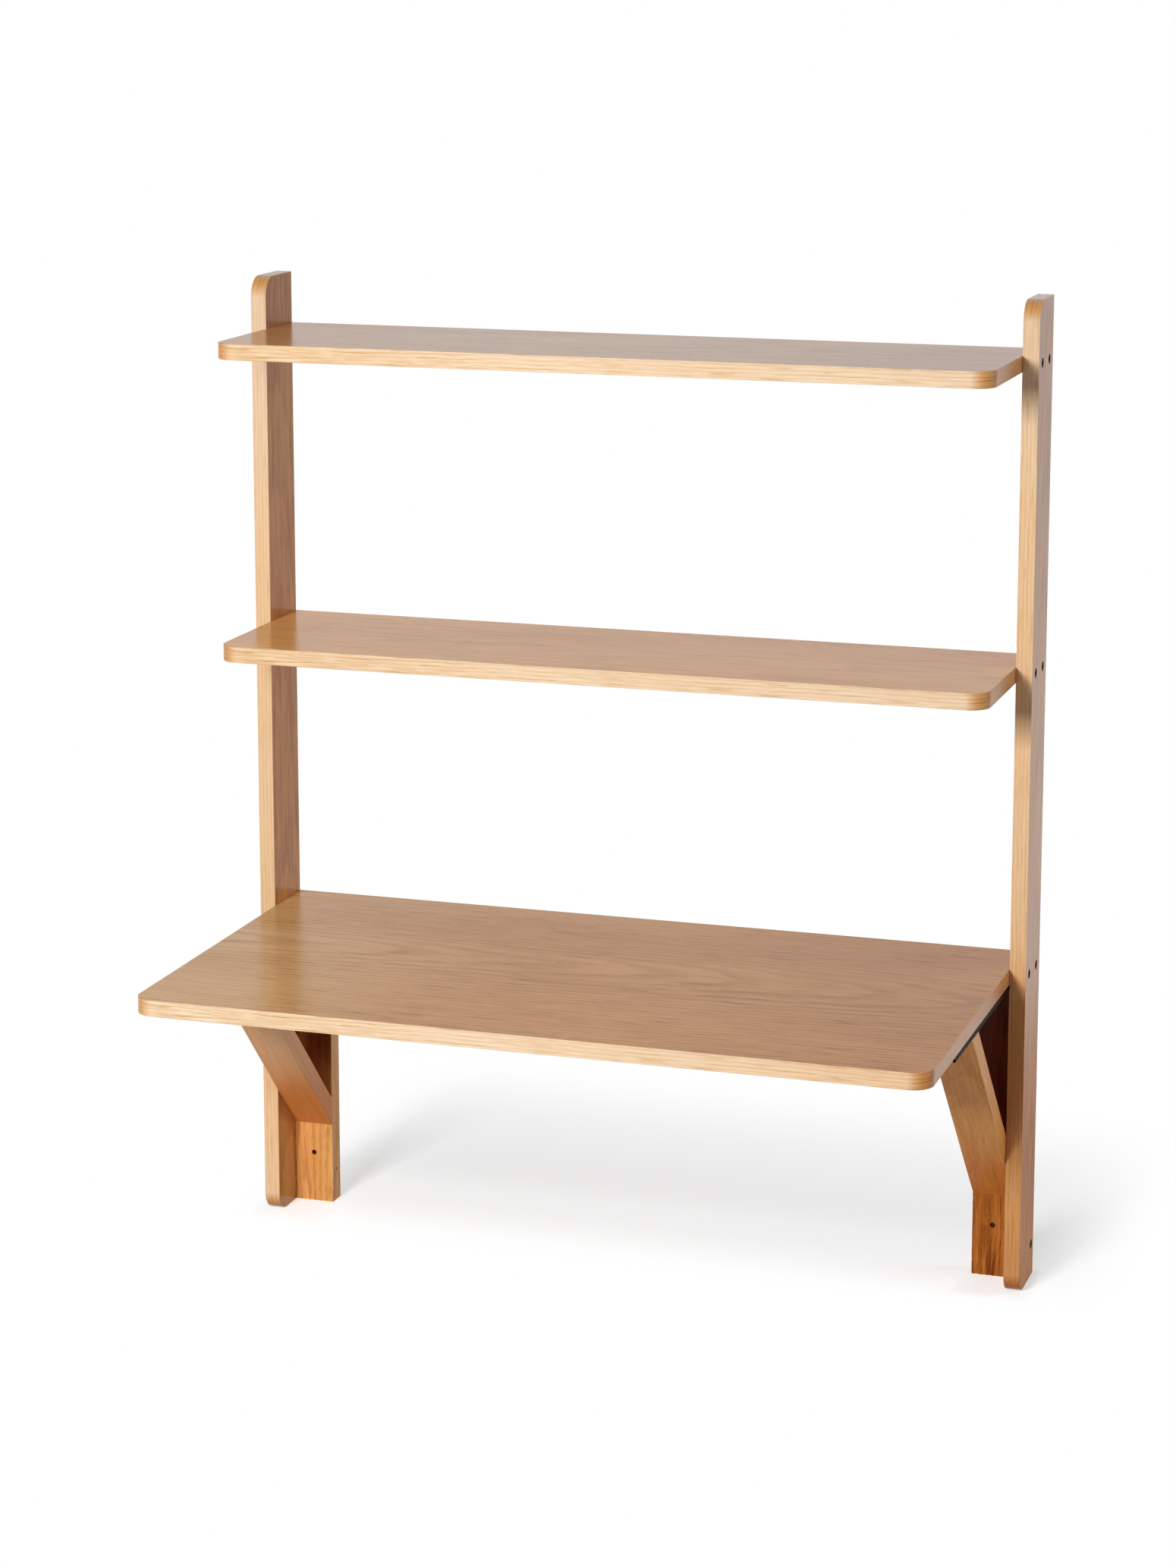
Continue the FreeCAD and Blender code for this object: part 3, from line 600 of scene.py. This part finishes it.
# steel rails, screws, plates and dowels
steel = {"metallic": 0.0, "bumpStrength": 0.05, "bumpDepth": 0.0001}
steelLooks = {
    "oilBlackRail": dict(
        steel, base=(0.006, 0.0055, 0.0055), worn=(0.025, 0.025, 0.025), wear=0.5,
        smoothness=0.42, specular=0.03),
    "blackScrew": dict(
        steel, base=(0.006, 0.005, 0.0045), worn=(0.022, 0.019, 0.017), wear=0.4,
        smoothness=0.50, specular=0.015),
    "zincSteel": dict(
        steel, base=(0.62, 0.62, 0.60), worn=(0.42, 0.42, 0.40), wear=0.6,
        smoothness=0.28, specular=0.5, metallic=1.0),
}
dowelWood = dict(timber, figurePlace=(0.0, 0.0, 0.0), light=(0.66, 0.46, 0.28), dark=(0.50, 0.32, 0.18))
zincPieces = (
    "rail_desk_screws", "rail_brace_screws", "brace_foot_screws", "keyhole_screws", "keyhole_plate")
steelMade = {name: steelMaterial(name, look) for name, look in steelLooks.items()}
for side in ("left", "right"):
    dress(f"{side}_desk_rail", steelMade["oilBlackRail"])
    dress(f"{side}_batten_screw", steelMade["blackScrew"])
    for piece in zincPieces:
        dress(f"{side}_{piece}", steelMade["zincSteel"])
    dress(f"{side}_batten_dowels", oakMaterial(f"beechDowel_{side}", dowelWood, alongX))
for board in boardLooks:
    dress(f"{board}_screws", steelMade["blackScrew"])
print("steel, screws and dowels dressed")


# floor: white, keeps the shadow round, between and behind the feet, where a painted shadow makes it a
# little dimmer, and fades to plain white further off; clear from below
floorLook = {
    "size": 12.0, "colour": (0.45, 0.45, 0.45, 1.0),
    "shadowShare": (0.775, 0.80, 0.815, 1.0), "whiteShare": 0.50, "glow": (0.978, 0.992, 1.0, 1.0),
    "shadowMiddle": 0.03, "shadowReach": (0.41, 0.60),
    "shadowFront": (-0.15, 0.0), "shadowBack": (0.12, 0.66),
    "footAcross": 0.464, "footAlong": -0.0425,  # middle of a foot, upright and batten together
    "contactAcross": (0.038, 0.064), "contactAlong": (0.045, 0.075),
    # painted shadow: a dimmer strip between and behind the feet
    "paintedShadowShare": 0.075, "paintedShadowFront": (-0.12, 0.05), "paintedShadowBack": (0.10, 0.32),
}


def seenDirectly(tree):
    # what the camera, a gloss or a clear part sees, as against light that only falls on the object
    light = tree.nodes.new("ShaderNodeLightPath").outputs
    clear = maths(tree, "MAXIMUM", light["Is Glossy Ray"], light["Is Transmission Ray"])
    return maths(tree, "MAXIMUM", light["Is Camera Ray"], clear)


def mixShaders(tree, factor, first, second):
    node = addNode(tree, "ShaderNodeMixShader", {"Fac": factor})
    tree.links.new(first, node.inputs[1])
    tree.links.new(second, node.inputs[2])
    return node.outputs["Shader"]


def shadowMask(tree, axes, look):
    # one patch between the feet and behind them, and one round each foot
    aside = maths(tree, "ABSOLUTE", maths(tree, "SUBTRACT", axes["X"], look["shadowMiddle"]))
    near = fall(tree, aside, *look["shadowReach"])
    near = maths(tree, "MULTIPLY", near, ramp(tree, axes["Y"], *look["shadowFront"]))
    near = maths(tree, "MULTIPLY", near, fall(tree, axes["Y"], *look["shadowBack"]))
    footX = maths(tree, "SUBTRACT", maths(tree, "ABSOLUTE", axes["X"]), look["footAcross"])
    footY = maths(tree, "SUBTRACT", axes["Y"], look["footAlong"])
    across = fall(tree, maths(tree, "ABSOLUTE", footX), *look["contactAcross"])
    along = fall(tree, maths(tree, "ABSOLUTE", footY), *look["contactAlong"])
    return maths(tree, "MAXIMUM", near, maths(tree, "MULTIPLY", across, along))


def floorMaterial(look):
    material, tree, surface = emptyMaterial("studioWhite")
    axes = split(tree, tree.nodes.new("ShaderNodeTexCoord").outputs["Object"])
    # painted shadow: the white glow is dimmed between and behind the feet
    paintedShadowBack = fall(tree, axes["Y"], *look["paintedShadowBack"])
    dim = maths(tree, "MULTIPLY", ramp(tree, axes["Y"], *look["paintedShadowFront"]), paintedShadowBack)
    dimmed = maths(tree, "MULTIPLY_ADD", dim, -look["paintedShadowShare"], look["whiteShare"])
    shadowed = addNode(tree, "ShaderNodeBsdfDiffuse", {"Color": look["shadowShare"]})
    glow = addNode(tree, "ShaderNodeEmission", {"Color": look["glow"], "Strength": dimmed})
    shaded = tree.nodes.new("ShaderNodeAddShader")
    tree.links.new(shadowed.outputs["BSDF"], shaded.inputs[0])
    tree.links.new(glow.outputs["Emission"], shaded.inputs[1])
    white = addNode(tree, "ShaderNodeEmission", {"Strength": 1.0}).outputs["Emission"]
    plain = addNode(tree, "ShaderNodeBsdfDiffuse", {"Color": look["colour"]}).outputs["BSDF"]
    clear = tree.nodes.new("ShaderNodeBsdfTransparent").outputs["BSDF"]
    underneath = tree.nodes.new("ShaderNodeNewGeometry").outputs["Backfacing"]
    seen = mixShaders(tree, shadowMask(tree, axes, look), white, shaded.outputs["Shader"])
    chosen = mixShaders(tree, seenDirectly(tree), plain, seen)
    tree.links.new(mixShaders(tree, underneath, chosen, clear), surface)
    return material


def buildFloor(look, level):
    half = look["size"] / 2
    mesh = bpy.data.meshes.new("studioFloor")
    corners = [(-half, -half, level), (half, -half, level), (half, half, level), (-half, half, level)]
    mesh.from_pydata(corners, [], [(0, 1, 2, 3)])
    mesh.materials.append(floorMaterial(look))
    floor = bpy.data.objects.new("studioFloor", mesh)
    scene.collection.objects.link(floor)


buildFloor(floorLook, cadBox[0][2])
print("floor laid")


# light: an even white room, one soft lamp in front, above and to the left,
# a weak one on the right and a little behind for the sides, and a weak one behind for the back
roomLight = {"colour": (1.0, 1.0, 1.0, 1.0), "ambient": 0.17}
softLamps = {
    "softLamp": {"place": (-0.65, -3.75, 1.88), "aim": (0.0, -0.2, 0.5), "size": 0.95, "power": 140.0},
    "sideLamp": {"place": (3.1, 0.75, 0.75), "aim": (0.0, -0.1, 0.5), "size": 1.4, "power": 22.5},
    "backLamp": {"place": (0.0, 3.6, 0.75), "aim": (0.0, 0.0, 0.5), "size": 2.0, "power": 26.0},
}


def buildRoom(look):
    world = bpy.data.worlds.new("studioRoom")
    world.use_nodes = True
    scene.world = world
    tree = world.node_tree
    tree.nodes.clear()
    output = tree.nodes.new("ShaderNodeOutputWorld")
    strength = ramp(tree, seenDirectly(tree), 0.0, 1.0, look["ambient"], 1.0)
    background = addNode(tree, "ShaderNodeBackground", {"Color": look["colour"], "Strength": strength})
    tree.links.new(background.outputs["Background"], output.inputs["Surface"])


def buildLamp(name, look):
    data = bpy.data.lights.new(name, "AREA")
    data.energy = look["power"]
    data.size = look["size"]
    lamp = bpy.data.objects.new(name, data)
    scene.collection.objects.link(lamp)
    lamp.visible_glossy = False  # the gloss shows the white room, without a lamp's glare
    lamp.location = look["place"]
    lamp.rotation_euler = (Vector(look["aim"]) - Vector(look["place"])).to_track_quat("-Z", "Y").to_euler()


buildRoom(roomLight)
for lampName, lampLook in softLamps.items():
    buildLamp(lampName, lampLook)
print("lamps set")


# camera: the photograph's viewing angle
viewpoint = {
    "place": (1.3167, -4.3529, 1.5912), "pitch": -10.286, "yaw": 17.832,
    "lens": 84.79, "sensor": 36.0, "shiftDown": 0.12,
}


def buildCamera(look):
    data = bpy.data.cameras.new("viewpoint")
    data.lens = look["lens"]
    data.sensor_width = look["sensor"]
    data.shift_y = -look["shiftDown"]
    camera = bpy.data.objects.new("viewpoint", data)
    scene.collection.objects.link(camera)
    camera.location = look["place"]
    camera.rotation_euler = Euler((math.radians(90.0 + look["pitch"]), 0.0, math.radians(look["yaw"])))
    scene.camera = camera


buildCamera(viewpoint)
scene.view_settings.view_transform = "Standard"
print("camera set")
